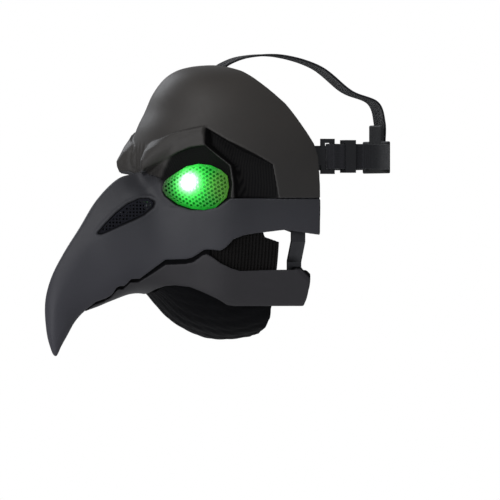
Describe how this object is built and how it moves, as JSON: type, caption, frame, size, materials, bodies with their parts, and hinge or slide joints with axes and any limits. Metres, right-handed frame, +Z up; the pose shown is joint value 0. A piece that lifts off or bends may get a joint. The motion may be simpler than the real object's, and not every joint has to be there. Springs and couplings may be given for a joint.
{
  "type": "plague doctor mask",
  "caption": "Beaked plague doctor mask with lit mesh eyes, grilled nostrils and a hinged lower beak that follows the wearer's chin, held by head straps.",
  "frame": {"origin": "midway between the wearer's ears at eye height", "axes": "+Z up, -Y out of the face, +X to the wearer's left"},
  "size_m": [0.1656, 0.2954, 0.2414],
  "materials": {
    "shell": "satin charcoal moulding",
    "eye_screen": "perforated, lit green from behind",
    "eye_lens": "green tinted polycarbonate",
    "lamp": "clear LED",
    "grille": "matte black",
    "mesh_cloth": "stiff black mesh",
    "nylon": "natural nylon",
    "steel": "zinc plated",
    "band": "elastic band",
    "cell": "coin cell",
    "contact": "sheet brass",
    "wire": "PVC insulated lead",
    "foam": "open-cell foam with a cloth face",
    "elastic": "woven elastic webbing",
    "cloth": "gathered black cloth",
    "patch": "grained black leatherette",
    "black_plastic": "fine textured"
  },
  "bodies": {
    "mask": {"forehead_shell": "shell", "beak_shell": "shell", "eye_screen_left": "eye_screen", "eye_screen_right": "eye_screen", "eye_lens_left": "eye_lens", "eye_lens_right": "eye_lens", "eye_frame_left": "black_plastic", "eye_frame_right": "black_plastic", "lamp_bracket_left": "black_plastic", "lamp_bracket_right": "black_plastic", "lamp_left": "lamp", "lamp_right": "lamp", "eye_frame_screws": "steel", "nostril_grille_left": "grille", "nostril_grille_right": "grille", "cheek_mesh_left": "mesh_cloth", "cheek_mesh_right": "mesh_cloth", "hinge_bracket_left": "steel", "hinge_bracket_right": "steel", "bracket_screws": "steel", "hinge_pin_left": "steel", "hinge_pin_right": "steel", "hinge_washers": "nylon", "return_band_left": "band", "return_band_right": "band", "case_bulkhead": "shell", "battery_case": "black_plastic", "coin_cells": "cell", "contact_strip": "contact", "case_screws": "steel", "lamp_wire_left": "wire", "lamp_wire_right": "wire", "forehead_pad": "foam", "cheek_pad_left": "foam", "cheek_pad_right": "foam", "strap_anchor_left": "black_plastic", "strap_anchor_right": "black_plastic", "anchor_rivets": "steel", "side_strap_left": "elastic", "side_strap_right": "elastic", "crown_anchor": "black_plastic", "crown_screws": "steel", "crown_strap": "elastic", "rear_patch": "patch"},
    "jaw": {"jaw_shell": "shell", "jaw_arm_left": "steel", "jaw_arm_right": "steel", "jaw_arm_screws": "steel", "chin_bar": "steel", "chin_bar_screw": "steel", "chin_cup": "black_plastic", "chin_pad": "foam", "chin_cover": "cloth"},
    "lid": {"battery_lid": "black_plastic"},
    "switch": {"switch_slider": "black_plastic"},
    "slider_left": {"strap_slider_left": "black_plastic"},
    "slider_right": {"strap_slider_right": "black_plastic"}
  },
  "joints": [
    {"name": "jaw_hinge", "type": "hinge", "parent": "mask", "child": "jaw", "pos_m": [0, 0.006, -0.022], "axis": [1, 0, 0], "range_deg": [0, 18], "stiffness_Nm_per_rad": 0.35, "springref_deg": -17.19, "deforming": ["return_band_left", "return_band_right"]},
    {"name": "lid_hinge", "type": "hinge", "parent": "mask", "child": "lid", "pos_m": [0, -0.12255, -0.0415], "axis": [1, 0, 0], "range_deg": [0, 95]},
    {"name": "switch_slide", "type": "slide", "parent": "mask", "child": "switch", "axis": [1, 0, 0], "range_m": [0, 0.003]},
    {"name": "slider_left_slide", "type": "slide", "parent": "mask", "child": "slider_left", "axis": [0, 1, 0], "range_m": [0, 0.008]},
    {"name": "slider_right_slide", "type": "slide", "parent": "mask", "child": "slider_right", "axis": [0, 1, 0], "range_m": [0, 0.008]}
  ]
}
